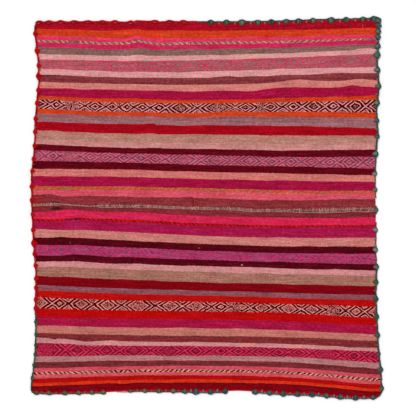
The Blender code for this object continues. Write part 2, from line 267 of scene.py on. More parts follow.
# Striped twists
# Columns: tone of the ground, tone of the marks, pitch along the stripe, lean of a mark over its height,
# share of a mark, places where the lean changes sides, mixed stretches (middle, half length, share of marks)
TWISTS = {
    "tan twist": (
        "cc8878", "665648", 0.0190, 1.4, 0.54, (0.256,), ((-0.422, 0.019, 0.85), (0.530, 0.020, 0.60)),
    ),
    "grey twist": ("da3e12", "8a705a", 0.0208, -1.4, 0.40, (0.000, 0.118), ((-0.448, 0.019, 0.50),)),
    "dark twist": ("cc0c10", "50180e", 0.0146, 1.2, 0.38, (), ((-0.424, 0.024, 0.60),)),
    "maroon twist": (
        "dc987c", "44000c", 0.0162, 1.2, 0.52, (-0.278, -0.250, -0.202, 0.138, 0.152, 0.381, 0.413), (),
    ),
}

# Stains, tints, stray fibres, and painted shadows along the tucks, along two creases and beside the seam
# Columns: x, y, half length, half height, tone, strength
MARKS_AND_PAINTED_SHADOWS = (
    (-0.544, 0.012, 0.0240, 0.0260, "a2141a", 0.45),
    # Painted shadows: two dark patches beside the seam, a dark line down one crease and a dark mark along
    # another
    (-0.484, 0.018, 0.0130, 0.0030, "38060c", 0.85),
    (-0.478, -0.002, 0.0220, 0.0060, "38060c", 0.85),
    (-0.041, 0.018, 0.0020, 0.0150, "74040c", 0.90),
    (-0.429, -0.029, 0.0120, 0.0014, "90082c", 0.60),
    # Painted shadows along the tucks
    (-0.520, -0.413, 0.0200, 0.0018, "180206", 0.95),
    (-0.487, -0.418, 0.0140, 0.0022, "180206", 0.95),
    (-0.495, 0.424, 0.0360, 0.0022, "180206", 0.90),
    (-0.022, -0.128, 0.0016, 0.0012, "d08880", 0.70),
    (0.115, -0.182, 0.0024, 0.0018, "f0b8b8", 0.90),
    (-0.435, -0.112, 0.0018, 0.0015, "c08868", 0.60),
    (0.528, -0.234, 0.0044, 0.0030, "b87810", 0.75),
    (0.501, 0.583, 0.0010, 0.0048, "d87878", 0.60),
    (0.154, 0.481, 0.0280, 0.0060, "f09c80", 0.60),
    (0.140, -0.436, 0.0200, 0.0045, "ec8c74", 0.70),
    (0.296, -0.442, 0.0130, 0.0040, "e88c78", 0.60),
    (-0.317, -0.434, 0.0150, 0.0040, "ec8c78", 0.60),
)

# Soft ridges that the cloth keeps from its folding and use
# Columns: x and y of one end, x and y of the other end, half width, height
RIDGES = (
    (-0.090, 0.195, 0.003, 0.259, 0.021, 0.0055),
    (0.003, 0.259, 0.093, 0.291, 0.020, 0.0045),
    (0.157, 0.346, 0.259, 0.410, 0.023, 0.0050),
    (0.259, 0.410, 0.397, 0.394, 0.025, 0.0045),
    (0.365, 0.240, 0.438, 0.282, 0.020, 0.0040),
    (0.451, 0.195, 0.500, 0.214, 0.020, 0.0040),
    (0.400, 0.490, 0.490, 0.530, 0.022, 0.0045),
    (-0.480, 0.426, -0.349, 0.426, 0.020, 0.0045),
    (-0.470, 0.065, -0.400, 0.090, 0.022, 0.0045),
    (-0.480, -0.062, -0.400, -0.090, 0.021, 0.0045),
    (-0.480, -0.413, -0.394, -0.413, 0.020, 0.0045),
    (-0.403, -0.350, -0.330, -0.358, 0.020, 0.0035),
    (0.387, -0.358, 0.470, -0.445, 0.022, 0.0050),
    (0.399, -0.500, 0.420, -0.490, 0.022, 0.0035),
    (-0.325, -0.205, -0.290, -0.175, 0.020, 0.0035),
    (-0.245, -0.225, -0.215, -0.200, 0.020, 0.0035),
    (-0.221, -0.540, -0.221, -0.060, 0.020, 0.0022),
    (-0.221, 0.060, -0.221, 0.540, 0.020, 0.0026),
    (0.278, -0.540, 0.278, -0.060, 0.020, 0.0020),
    (0.278, 0.060, 0.278, 0.300, 0.020, 0.0020),
)
# Sharper creases on top of them, and troughs where the height is below nought
CREASES = (
    (-0.530, 0.426, -0.352, 0.425, 0.005, 0.0010),
    (0.430, 0.506, 0.534, 0.547, 0.007, 0.0012),
    (0.440, 0.540, 0.530, 0.565, 0.007, -0.0008),
    (-0.540, 0.030, -0.505, 0.022, 0.006, 0.0012),
    (-0.490, -0.002, -0.455, -0.008, 0.007, -0.0009),
    (-0.445, -0.032, -0.412, -0.024, 0.006, 0.0010),
    (-0.535, -0.064, -0.505, -0.058, 0.006, 0.0010),
    (0.055, 0.006, 0.080, 0.002, 0.007, -0.0009),
    (0.440, -0.016, 0.465, -0.020, 0.007, -0.0009),
    (-0.540, -0.413, -0.394, -0.414, 0.005, 0.0010),
    (0.387, -0.358, 0.470, -0.445, 0.006, 0.0011),
    (-0.330, -0.196, -0.300, -0.182, 0.005, 0.0010),
    (-0.245, -0.214, -0.222, -0.202, 0.005, 0.0010),
    (-0.202, 0.130, -0.202, 0.560, 0.004, 0.0007),
    (-0.061, -0.520, -0.061, -0.120, 0.005, -0.0006),
    (0.141, 0.060, 0.141, 0.560, 0.005, -0.0006),
    (0.278, -0.560, 0.278, 0.300, 0.004, 0.0007),
    (-0.221, 0.440, -0.221, 0.590, 0.004, 0.0010),
)

# Crocheted edging
CORD_STEP = 0.0011
CORD_PITCH = 0.0085
CORD_MIDDLE = 0.0018
CORD_HEIGHT = 0.0023
STRAND_RADIUS = 0.00140
STRAND_SWING = 0.00105
STRAND_RISE = 0.00060
POST_PLACES = (-1.0, -0.68, -0.35, 0.0, 0.35, 0.68, 1.0)
POST_ROUNDING = 0.55
POST_RADIUS = 0.0016
TICK_RADIUS = 0.0011
TICK_ROOM = 0.0260
# Short bright stitches on the red top shells, whose tone is a painted highlight for the glints on them
GLINT_KNOT_RADIUS = 0.0015
GLINT_KNOT_HALF_LENGTH = 0.0050
GLINT_KNOT_TONE = "ff4434"
GLINT_KNOT_RUN = "edging_red_top"
LOOSE_END_LENGTH = 0.036
LOOSE_END_TONE = "a89c98"
LOOSE_END_RUN = "edging_green_bottom_middle"
# Columns: thickness against the usual cord, half length of the cord's bulge over a shell, its reach outwards,
# half widths of a shell along its inner end and along the cord, its depth, a tick's depth
EDGING_SIZES = {
    "red top": (1.20, 0.0170, 0.0036, 0.0100, 0.0125, 0.0036, 0.0030),
    "green top": (1.10, 0.0130, 0.0050, 0.0056, 0.0088, 0.0090, 0.0072),
    "right corner": (1.70, 0.0115, 0.0044, 0.0060, 0.0090, 0.0095, 0.0050),
    "right upper": (1.40, 0.0140, 0.0056, 0.0046, 0.0090, 0.0092, 0.0050),
    "right middle": (0.72, 0.0120, 0.0052, 0.0046, 0.0086, 0.0090, 0.0050),
    "right lower": (1.20, 0.0135, 0.0056, 0.0044, 0.0088, 0.0088, 0.0050),
    "low corner": (0.80, 0.0120, 0.0044, 0.0044, 0.0085, 0.0080, 0.0050),
    "teal bottom": (1.30, 0.0130, 0.0046, 0.0056, 0.0090, 0.0084, 0.0062),
    "moss bottom": (0.90, 0.0120, 0.0036, 0.0050, 0.0082, 0.0074, 0.0048),
    "moss left": (0.85, 0.0090, 0.0034, 0.0036, 0.0064, 0.0064, 0.0040),
    "red left": (1.20, 0.0115, 0.0042, 0.0040, 0.0082, 0.0068, 0.0050),
}
THICKNESS, BULGE_LENGTH, BULGE_REACH, INNER_WIDTH, OUTER_WIDTH, SHELL_DEPTH, TICK_DEPTH = range(7)
# Columns: tones of the cord's two strands, two tones of the shells, tone of the ticks
EDGING_TONES = {
    "red top": ("c80c22", "b40a20", "c80e24", "b60a20", "d02838"),
    "green top": ("26483c", "485c54", "1f4e40", "84867e", "828c7c"),
    "right corner": ("2a463e", "6c7a74", "24463c", "7a8682", "847a70"),
    "right upper": ("24443a", "54645f", "285448", "7c9488", "84887a"),
    "right middle": ("6c5a4a", "585a4a", "4c6054", "98a096", "84887a"),
    "right lower": ("26443a", "54625c", "2c584a", "5c7468", "84887a"),
    "low corner": ("26403a", "3c4e48", "2c504a", "647c78", "84887a"),
    "teal bottom": ("22403f", "6c7376", "20443f", "5e7f7a", "848c7e"),
    "moss bottom": ("34442c", "5a5842", "405438", "80866a", "70705c"),
    "moss left": ("24422a", "3c5840", "2c5034", "5c8460", "70805c"),
    "red left": ("c60610", "ac0610", "dc0810", "be0612", "dc2020"),
}
SHELL_DARK, SHELL_PALE, TICK_TONE = range(2, 5)
# Runs of the edging, clockwise: side, slot, and styles with the places where they hold, None being the corner
EDGING_RUNS = {
    "edging_red_top": ("top", "red_yarn", ((None, "red top"), (-0.026, "red top"))),
    "edging_green_top": ("top", "green_yarn", ((-0.026, "green top"), (None, "green top"))),
    "edging_green_right_upper": ("right", "green_yarn", (
        (None, "right corner"), (0.535, "right corner"), (0.500, "right upper"), (0.180, "right upper"),
        (0.110, "right middle"), (0.032, "right middle"),
    )),
    "edging_green_right_middle": ("right", "green_yarn", ((0.007, "right middle"), (-0.019, "right middle"))),
    "edging_green_right_lower": ("right", "green_yarn", (
        (-0.045, "right middle"), (-0.150, "right middle"), (-0.200, "right lower"), (-0.560, "right lower"),
        (-0.592, "low corner"), (None, "low corner"),
    )),
    "edging_green_bottom_right": ("bottom", "green_yarn", (
        (None, "low corner"), (0.530, "low corner"), (0.510, "teal bottom"), (0.147, "teal bottom"),
    )),
    "edging_green_bottom_middle": ("bottom", "green_yarn", (
        (0.067, "teal bottom"), (-0.050, "teal bottom"), (-0.085, "moss bottom"), (-0.250, "moss bottom"),
    )),
    "edging_green_bottom_left": ("bottom", "green_yarn", ((-0.320, "moss bottom"), (None, "moss bottom"))),
    "edging_green_left": ("left", "green_yarn", ((None, "moss left"), (-0.341, "moss left"))),
    "edging_red_left": ("left", "red_yarn", ((-0.341, "red left"), (None, "red left"))),
}
# Places of the shells along each side
SHELLS = {
    "top": (
        -0.535, -0.503, -0.464, -0.422, -0.377, -0.331, -0.290, -0.242, -0.164, -0.116, -0.071,
        0.015, 0.066, 0.116, 0.166, 0.210, 0.256, 0.297, 0.343, 0.400, 0.449, 0.502, 0.538,
    ),
    "right": (
        0.602, 0.584, 0.566, 0.548, 0.519, 0.490, 0.442, 0.390, 0.337, 0.280, 0.229, 0.173, 0.110, 0.059,
        -0.006, -0.070, -0.133, -0.188, -0.237, -0.291, -0.348, -0.407, -0.467, -0.517, -0.577,
    ),
    "bottom": (
        0.534, 0.479, 0.431, 0.386, 0.340, 0.292, 0.247, 0.204, 0.157, 0.061, 0.015, -0.032,
        -0.068, -0.105, -0.150, -0.196, -0.242, -0.329, -0.365, -0.407, -0.452, -0.502, -0.543,
    ),
    "left": (
        -0.544, -0.502, -0.469, -0.439, -0.405, -0.364, -0.322, -0.293, -0.255, -0.226, -0.184, -0.147,
        -0.114, -0.070, -0.020, 0.026, 0.069, 0.118, 0.157, 0.199, 0.243, 0.286, 0.335, 0.377, 0.422,
        0.456, 0.503, 0.558,
    ),
}
# Shells that are much bigger or smaller than the rest, by their place and their size against the usual shell
ODD_SHELLS = {
    "top": {0.116: 1.20, 0.400: 1.25, 0.538: 1.20},
    "right": {0.602: 1.20, 0.490: 1.30, 0.280: 0.80, 0.229: 0.80, -0.467: 0.60},
    "bottom": {-0.032: 1.20, -0.242: 0.60},
    "left": {0.422: 1.45, 0.503: 1.20, -0.114: 1.40, -0.020: 0.85, -0.439: 0.80},
}

# Joining stitches
STITCH_PITCH = 0.0040
STITCH_RADIUS = 0.00125
STITCH_SHORTEST = 0.0026
SEAM_END_LEFT = 0.0030
SEAM_END_RIGHT = 0.0060
SEAM_TOP = SHEET + SEAM_RISE
SEAM_CORD_STEP = 0.0014
SEAM_CORD_INSET = 0.0014
SEAM_CORD_RADIUS = 0.00115
SEAM_CORD_SWING = 0.00085
SEAM_CORD_PITCH = 0.0095
SEAM_CORD_SIDES = (-1.0, 0.30)
# Columns: place along the seam, half the stitches' width
STITCH_WIDTHS = (
    (-0.556, 0.0040), (-0.480, 0.0044), (-0.462, 0.0018), (-0.352, 0.0018), (-0.340, 0.0052),
    (-0.230, 0.0044), (-0.208, 0.0062), (-0.190, 0.0046), (0.000, 0.0044), (0.100, 0.0050),
    (0.270, 0.0054), (0.300, 0.0072), (0.545, 0.0074),
)
SEAM_TONES = ("be8e84", "aa766c", "cca296", "9e665e", "8c4a44")
SEAM_CORD_TONES = ("be8c82", "9c6860")

# Camera, light and floor
CAMERA_MIDDLE = (0.0064, 0.0)
CAMERA_HEIGHT = 3.146
LENS = 85.0
SENSOR = 36.0
BACKDROP_STRENGTH = 0.58
FLOOR_HALF = 6.0
FLOOR_DROP = 0.0005
# Columns: name, place, spread in degrees, power
LIGHTS = (("key", (-1.8, 2.4, 2.8), 24.0, 1.55), ("fill", (2.4, -1.2, 3.4), 50.0, 0.45))


def linear(tone):
    """A hex sRGB tone as red, green and blue in linear light."""
    parts = np.array([int(tone[i : i + 2], 16) / 255 for i in (0, 2, 4)])
    return np.where(parts <= 0.04045, parts / 12.92, ((parts + 0.055) / 1.055) ** 2.4)


def opaque(tone):
    """The same with full cover, as a node takes it."""
    return (*linear(tone), 1.0)


def read(table, place):
    """Read a two-column table at places between its rows."""
    places, values = np.array(table).T
    return np.interp(place, places, values)


def smooth_read(places, values, x):
    """Read a short course at places between its stations, with no kinks."""
    places, values = np.array(places), np.array(values)
    slopes = np.gradient(values, places)
    x = np.clip(x, places[0], places[-1])
    k = np.clip(np.searchsorted(places, x) - 1, 0, len(places) - 2)
    span = places[k + 1] - places[k]
    t = (x - places[k]) / span
    start = values[k] * (1 + 2 * t) * (1 - t) ** 2 + values[k + 1] * t * t * (3 - 2 * t)
    return start + span * (slopes[k] * t * (1 - t) ** 2 - slopes[k + 1] * t * t * (1 - t))


def top_line(x):
    return read(TOP_EDGE, x)


def bottom_line(x):
    return read(BOTTOM_EDGE, x)


def above_seam(x):
    return read(SEAM_LINE, x) + GAP / 2


def below_seam(x):
    return read(SEAM_LINE, x) - GAP / 2


def wander(x, step, size):
    """Smooth unevenness along a line, from a few seeded numbers."""
    places = np.arange(-0.62, 0.62 + step, step)
    values = rng.normal(0.0, size, len(places))
    share = (x - places[0]) / step
    k = np.clip(share.astype(int), 0, len(places) - 2)
    t = share - k
    t = t * t * (3 - 2 * t)
    return values[k] * (1 - t) + values[k + 1] * t


class Stripes:
    """One panel's stripes: the heights of their edges, and their places in the cloth before it was pulled."""

    def __init__(self, stripes, courses, first_line, last_line):
        self.stripes = stripes
        self.lines = [first_line, *[courses.get(row[0]) for row in stripes[1:]], last_line]
        widths = [row[1] for row in stripes]
        self.across = -np.concatenate([[0.0], np.cumsum(widths)])
        self.known = [k for k, line in enumerate(self.lines) if line is not None]

    def edge(self, k, x):
        """Height of the upper edge of stripe k."""
        line = self.lines[k]
        if callable(line):
            return line(x)
        if line is not None:
            return smooth_read(COURSE_PLACES, line, x)
        above = max(n for n in self.known if n < k)
        below = min(n for n in self.known if n > k)
        share = (self.across[k] - self.across[above]) / (self.across[below] - self.across[above])
        return self.edge(above, x) * (1 - share) + self.edge(below, x) * share


def bulge(x, y):
    total = np.zeros_like(x)
    for middle, height, to_left, to_right, half_height, rise in BULGES:
        reach = np.where(x < middle, to_left, to_right)
        total += rise * np.exp(-(((x - middle) / reach) ** 2) - ((y - height) / half_height) ** 2)
    return total


def segment_distance(x, y, ridge):
    """Distance from points to a ridge's line."""
    x0, y0, x1, y1 = ridge[:4]
    run, rise = x1 - x0, y1 - y0
    share = ((x - x0) * run + (y - y0) * rise) / (run * run + rise * rise)
    share = np.clip(share, 0.0, 1.0)
    return np.hypot(x - x0 - share * run, y - y0 - share * rise)


def rim_distance(x, y):
    """Distance to the rim of the cloth."""
    sides = (x - read(LEFT_EDGE, y), read(RIGHT_EDGE, y) - x, top_line(x) - y, y - bottom_line(x))
    return np.minimum.reduce(sides)


def rim_fade(x, y):
    """Nought along the rim and the seam, where the cloth lies flat, and one away from them."""
    nearest = np.minimum(rim_distance(x, y), np.abs(y - read(SEAM_LINE, x)))
    share = np.clip((nearest - FLAT_RIM) / FADE_WIDTH, 0.0, 1.0)
    return share * share * (3 - 2 * share)


def ridge_sum(x, y, ridges):
    total = np.zeros_like(x)
    for ridge in ridges:
        half_width, height = ridge[4:]
        total += height * np.exp(-((segment_distance(x, y, ridge) / half_width) ** 2))
    return total


def lift(x, y):
    """Height of the cloth's underside over the plane it lies on."""
    folds = np.maximum(ridge_sum(x, y, RIDGES) * rim_fade(x, y) - FLAT_UNDER, 0.0)
    seam = SEAM_RISE * np.exp(-(((y - read(SEAM_LINE, x)) / SEAM_RISE_WIDTH) ** 2))
    return folds + seam


def relief(x, y):
    """Unevenness of the upper face over the underside."""
    fine = ridge_sum(x, y, CREASES)
    waves = np.sin(31 * x + 9 * np.sin(7 * y)) * np.sin(43 * y + 5 * np.sin(9 * x))
    near = np.clip(rim_distance(x, y) / FLAT_RIM, 0.0, 1.0)
    return np.maximum(fine + UNDULATION * waves * near, -DEEPEST_TROUGH)


def round_corners(x, y):
    """Draw the corners of the cloth in to their rounded outline."""
    left, right = read(LEFT_EDGE, y), read(RIGHT_EDGE, y)
    for side, edge in ((1, left), (-1, right)):
        for up, line in ((1, bottom_line(x)), (-1, top_line(x))):
            radius = CORNER_RADII[side, up]
            a = radius - side * (x - edge)
            b = radius - up * (y - line)
            inside = (a > 0) & (b > 0)
            size = np.where(inside, np.hypot(a, b), 1.0)
            pull = np.where(inside, 1 - np.maximum(a, b) / size, 0.0)
            x = x + side * a * pull
            y = y + up * b * pull
    return x, y


def inset(points, amount):
    """Move a closed clockwise line of points inwards."""
    ahead, behind = np.roll(points, -1, axis=0), np.roll(points, 1, axis=0)
    tangent = ahead - behind
    tangent /= np.linalg.norm(tangent, axis=1)[:, None]
    return points + amount * np.stack([tangent[:, 1], -tangent[:, 0]], axis=1)


def grid_lines(panel):
    """Row lines of a panel as (stripe, share of its width), and the stripe of each cell."""
    lines, cells = [], []
    for k, row in enumerate(panel.stripes):
        count = max(2, math.ceil(row[1] / ROW_STEP))
        lines += [(k, n / count) for n in range(count)]
        cells += [k] * count
    lines.append((len(panel.stripes) - 1, 1.0))
    return lines, cells


def place_grid(panel, lines, columns):
    """Points of the grid as [column, row], its corners rounded."""
    along = np.linspace(0.0, 1.0, columns)
    shifts = {}
    rows = []
    for k, share in lines:
        x = read(LEFT_EDGE, panel.across[k] * np.ones(columns))
        y = panel.edge(k, x)
        for _ in range(PLACING_ROUNDS):
            left = read(LEFT_EDGE, y)
            x = left + along * (read(RIGHT_EDGE, y) - left)
            y = panel.edge(k, x) * (1 - share) + panel.edge(k + 1, x) * share
        for edge in (k, k + 1):
            if edge not in shifts:
                uneven = wander(x, WANDER_STEP, EDGE_WANDER) + rng.normal(0.0, PICK_JITTER, columns)
                shifts[edge] = uneven * (0 < edge < len(panel.stripes))
        shift = shifts[k] * (1 - share) + shifts[k + 1] * share
        fade = np.clip(rim_distance(x, y) / FLAT_RIM, 0.0, 1.0)
        fade *= np.clip(np.abs(y - read(SEAM_LINE, x)) / FLAT_RIM, 0.0, 1.0)
        y = y + (shift + bulge(x, y)) * fade
        rows.append(np.stack(round_corners(x, y), axis=1))
    return np.stack(rows, axis=1)


def ring_of(columns, rows):
    """Column, row and row of the cell beside it for each step along the rim, clockwise from the top left."""
    ring = [(i, 0, 0) for i in range(columns - 1)]
    ring += [(columns - 1, j, j) for j in range(rows - 1)]
    ring += [(i, rows - 1, rows - 2) for i in range(columns - 1, 0, -1)]
    ring += [(0, j, j - 1) for j in range(rows - 1, 0, -1)]
    return np.array(ring)


def flat(values):
    """Values in one row, as a mesh's layers take them."""
    return np.asarray(values, dtype=np.float32).ravel()


def make_piece(name, points, faces, materials, tones, maps):
    """A smooth mesh on the body, with a tone and a place in each map at every corner of its faces."""
    mesh = bpy.data.meshes.new(name)
    mesh.from_pydata(points.tolist(), [], faces)
    for material in materials:
        mesh.materials.append(material)
    mesh.polygons.foreach_set("use_smooth", np.ones(len(faces), dtype=bool))
    filled = np.concatenate([tones, np.ones((*tones.shape[:2], 1))], axis=2)
    mesh.color_attributes.new("tone", "FLOAT_COLOR", "CORNER").data.foreach_set("color", flat(filled))
    for layer, places in maps.items():
        mesh.uv_layers.new(name=layer).uv.foreach_set("vector", flat(places))
    item = bpy.data.objects.new(name, mesh)
    bpy.context.scene.collection.objects.link(item)
    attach(item, "root")
    return item


def weave_of(stripe):
    """The weave of a stripe: its own where it is a band or a twist."""
    return stripe[0] if stripe[0] in BAND_TONES or stripe[0] in TWISTS else "plain"


def build_panel(name, panel, weaves, up_to):
    """Make a closed sheet over the panel's grid, with a weave and a tone for each stripe."""
    lines, cells = grid_lines(panel)
    columns, rows = math.ceil(LOOM_LENGTH / COLUMN_STEP), len(lines)
    size = columns * rows
    grid = place_grid(panel, lines, columns)
    ring = ring_of(columns, rows)
    x, y = grid[..., 0].ravel(), grid[..., 1].ravel()
    low = lift(x, y)
    high = low + SHEET + relief(x, y)
    outline = ring[:, 0] * rows + ring[:, 1]
    rim = np.stack([x[outline], y[outline]], axis=1)
    x[outline], y[outline] = inset(rim, RIM_INSET).T
    high[outline] -= RIM_DROP
    middle = (low[outline] + high[outline]) / 2
    low[outline] += RIM_DROP / 2
    sheets = [np.column_stack([x, y, height]) for height in (high, low)]
    points = np.concatenate([*sheets, np.column_stack([rim, middle])])

    # Faces of the upper face, the underside and the upper and lower halves of the rim, in that order
    start = np.arange(size).reshape(columns, rows)[:-1, :-1].ravel()
    quads = np.stack([start, start + 1, start + rows + 1, start + rows], axis=1)
    here = 2 * size + np.arange(len(ring))
    ahead, outline_ahead = np.roll(here, -1), np.roll(outline, -1)
    top_rim = np.stack([here, ahead, outline_ahead, outline], axis=1)
    under_rim = np.stack([size + outline, size + outline_ahead, ahead, here], axis=1)
    faces = np.concatenate([quads, quads[:, ::-1] + size, top_rim, under_rim])
    part = np.repeat(range(4), [len(quads), len(quads), len(ring), len(ring)])

    # Column and row of the grid at every corner, and the stripe and the share of its width there
    place = np.stack(np.divmod(np.arange(size), rows), axis=1)
    column, row = np.moveaxis(np.concatenate([place, place, ring[:, :2]])[faces], 2, 0)
    cell_rows = np.concatenate([start % rows, start % rows, ring[:, 2], ring[:, 2]])
    stripe = np.array(cells)[cell_rows]
    share = np.array([share for _, share in lines])[row]
    share[(row == cell_rows[:, None] + 1) & (share == 0.0)] = 1.0
    upper, lower = (np.array([linear(item[k]) for item in panel.stripes])[stripe][:, None] for k in (2, -1))
    tones = upper * (1 - share[..., None]) + lower * share[..., None]
    across = panel.across[stripe][:, None] * (1 - share) + panel.across[stripe + 1][:, None] * share
    maps = {
        "Weave": np.stack([points[faces][..., 0], across + up_to], axis=2),
        "OFBake": bake_map(column / (columns - 1), row / (rows - 1), faces >= 2 * size, part[:, None] % 2),
    }
    names = sorted(set(map(weave_of, panel.stripes)))
    item = make_piece(name, points, faces.tolist(), [weaves[weave] for weave in names], tones, maps)
    slots = np.array([names.index(weave_of(each)) for each in panel.stripes])
    item.data.polygons.foreach_set("material_index", slots[stripe].astype(np.int32))
    under = item.data.attributes.new("under", "FLOAT", "CORNER")
    under.data.foreach_set("value", flat(np.repeat(part == 1, 4)))
    return item, grid


def bake_map(along, down, at_rim, is_low):
    """Flat map of a panel: the upper face above, the underside below it, and the rim beside its face."""
    u = along * (1 - 2 * BAKE_MARGIN) + BAKE_MARGIN
    v = (1 - down) * (0.5 - 2 * BAKE_MARGIN) + BAKE_MARGIN + 0.5 * (1 - is_low)
    u += BAKE_RIM * at_rim * (1.0 * (along == 1) - (along == 0))
    v += BAKE_RIM * at_rim * (1.0 * (down == 0) - (down == 1))
    return np.stack([u, v], axis=2)


def joined_by(operation):
    """A method that joins two values by one node."""
    return lambda a, b=0.0: a.graph.math(operation, a, b)


class Value:
    """What a node gives out, open to plain arithmetic."""

    __add__ = joined_by("ADD")
    __sub__ = joined_by("SUBTRACT")
    __mul__ = joined_by("MULTIPLY")
    __truediv__ = joined_by("DIVIDE")
    __gt__ = joined_by("GREATER_THAN")
    __lt__ = joined_by("LESS_THAN")
    __abs__ = joined_by("ABSOLUTE")

    def __init__(self, graph, socket):
        self.graph, self.socket = graph, socket

    def __rsub__(self, other):
        return self.graph.math("SUBTRACT", other, self)


class Graph:
    """A material's nodes, with one short call for each kind of node."""

    def __init__(self, name):
        self.material = bpy.data.materials.new(name)
        self.material.use_nodes = True
        self.tree = self.material.node_tree

    def feed(self, node, inputs):
        for key, value in inputs.items():
            if isinstance(value, Value):
                self.tree.links.new(value.socket, node.inputs[key])
            else:
                node.inputs[key].default_value = value

    def node(self, kind, inputs, output=0, **settings):
        node = self.tree.nodes.new("ShaderNode" + kind)
        for key, value in settings.items():
            setattr(node, key, value)
        self.feed(node, inputs)
        return Value(self, node.outputs[output])

    def math(self, operation, a, b=0.0, c=0.0):
        return self.node("Math", {0: a, 1: b, 2: c}, operation=operation)

    def fold(self, operation, values):
        """Join a whole list of values by one operation."""
        return functools.reduce(lambda a, b: self.math(operation, a, b), values)

    def range(self, value, low, high, to_low, to_high):
        return self.node("MapRange", {0: value, 1: low, 2: high, 3: to_low, 4: to_high})

    def sway(self, value, swing, low=0.2, high=0.8):
        """A factor that goes from a little under one to a little over it."""
        return self.range(value, low, high, 1 - swing, 1 + swing)

    def mix(self, factor, a, b):
        return self.node("Mix", {0: factor, 6: a, 7: b}, 2, data_type="RGBA")

    def scale(self, colour, factor):
        return self.node("VectorMath", {0: colour, "Scale": factor}, operation="SCALE")

    def deepen(self, colour, power):
        """Make a dye deeper where the power is over one, and paler where it is under."""
        return self.node("Gamma", {0: colour, 1: power})

    def split(self, vector):
        return [self.node("SeparateXYZ", {0: vector}, k) for k in (0, 1)]

    def mapped(self, name):
        """Places along and across the cloth or the yarn, from one of its UV maps."""
        return self.split(self.node("UVMap", {}, uv_map=name))

    def attribute(self, name, output):
        return self.node("Attribute", {}, output, attribute_name=name)

    def noise(self, u, v, along, across, detail=1.0):
        """Noise from nought to one whose blotches are so long and so wide."""
        place = self.node("CombineXYZ", {0: u / along, 1: v / across})
        inputs = {"Scale": 1.0, "Detail": detail, "Vector": place}
        return self.node("TexNoise", inputs, noise_dimensions="2D")

    def speckle(self, u, v):
        """A number from nought to one for each small block of the weave."""
        place = {0: self.math("SNAP", u, MIX_ALONG), 1: self.math("SNAP", v, MIX_ACROSS)}
        return self.node("TexWhiteNoise", {"Vector": self.node("CombineXYZ", place)}, noise_dimensions="2D")

    def finish(self, looks):
        self.feed(self.tree.nodes["Principled BSDF"], looks)
        return self.material

    def wool(self, colour, height, depth, roughness):
        """A dull and slightly downy face, raised by a height over some depth."""
        bump = self.node("Bump", {"Strength": BUMP_STRENGTH, "Distance": depth, "Height": height})
        return self.finish({"Base Color": colour, "Normal": bump, "Roughness": roughness, **WOOL_SHEEN})


def cloth_finish(graph, u, v, colour):
    """Give a weave its uneven dye, its warp yarns and weft ribs, and its dull face."""
    yarns = graph.noise(u, v, 0.060, 0.0010, 2.0)
    flecks = graph.noise(u, v, 0.0105, 0.0042)
    picks = graph.noise(u, v, 0.0038, 0.0190)
    streaks = graph.noise(u, v, 0.075, 0.0055)
    blotches = graph.noise(u, v, 0.070, 0.030, 2.0)
    drift = graph.noise(u, v, 0.020, 0.010) * 0.004
    ribs = graph.math("SINE", (u + drift) * (2 * math.pi / RIB_PITCH))
    depth = graph.sway(flecks, 0.13) * graph.sway(streaks, 0.13)
    light = graph.sway(yarns, 0.13, 0.25, 0.75) * graph.sway(flecks, -0.06) * graph.sway(picks, 0.12)
    light = light * graph.sway(blotches, 0.12) * graph.sway(ribs, 0.08, -1.0, 1.0)
    height = ribs * 0.5 + yarns * 0.8
    roughness = graph.range(yarns, 0.2, 0.8, 0.82, 0.97)
    return graph.wool(graph.scale(graph.deepen(colour, depth), light), height, CLOTH_DEPTH, roughness)


def stain_and_paint_shadows(graph, colour):
    """Lay stains, tints and stray fibres over a weave, with painted shadows along tucks and creases and
    beside the seam, by their places on the laid blanket.
    """
    x, y = graph.split(graph.node("TexCoord", {}, "Object"))
    uneven = graph.range(graph.noise(x, y, 0.0060, 0.0030, 2.0), 0.3, 0.7, -0.35, 0.35)
    # Some of these marks are painted shadows: dark tones laid where tucks, creases and the seam shade the
    # cloth
    for middle, height, half_length, half_height, tone, strength in MARKS_AND_PAINTED_SHADOWS:
        a, b = (x - middle) / half_length, (y - height) / half_height
        away = graph.math("SQRT", a * a + b * b)
        cover = graph.range(away + uneven, 0.5, 1.3, strength, 0.0)
        colour = graph.mix(cover, colour, opaque(tone))
    return colour


def plain_weave():
    """Plain warp-faced cloth in the stripe's own tone, flecked with paler and darker fibres."""
    graph = Graph("wool_plain")
    u, v = graph.mapped("Weave")
    tone = graph.attribute("tone", "Color")
    fleck = graph.noise(u, v, 0.0080, 0.0014, 2.0)
    tone = graph.mix(graph.range(fleck, 0.60, 0.80, 0.0, 0.5), tone, graph.scale(tone, 1.4))
    tone = graph.mix(graph.range(fleck, 0.20, 0.38, 0.5, 0.0), tone, graph.scale(tone, 0.7))
    return cloth_finish(graph, u, v, stain_and_paint_shadows(graph, tone))


def mixture(graph, u, v, share):
    """A fine check of two yarns, nought for the dark one and one for the light, with some blocks swapped."""
    block = graph.math("FLOOR", u / MIX_ALONG) + graph.math("FLOOR", v / MIX_ACROSS)
    check = abs(graph.math("MODULO", block, 2.0))
    return graph.speckle(u, v) < check * (1.6 * share) + 0.2 * share


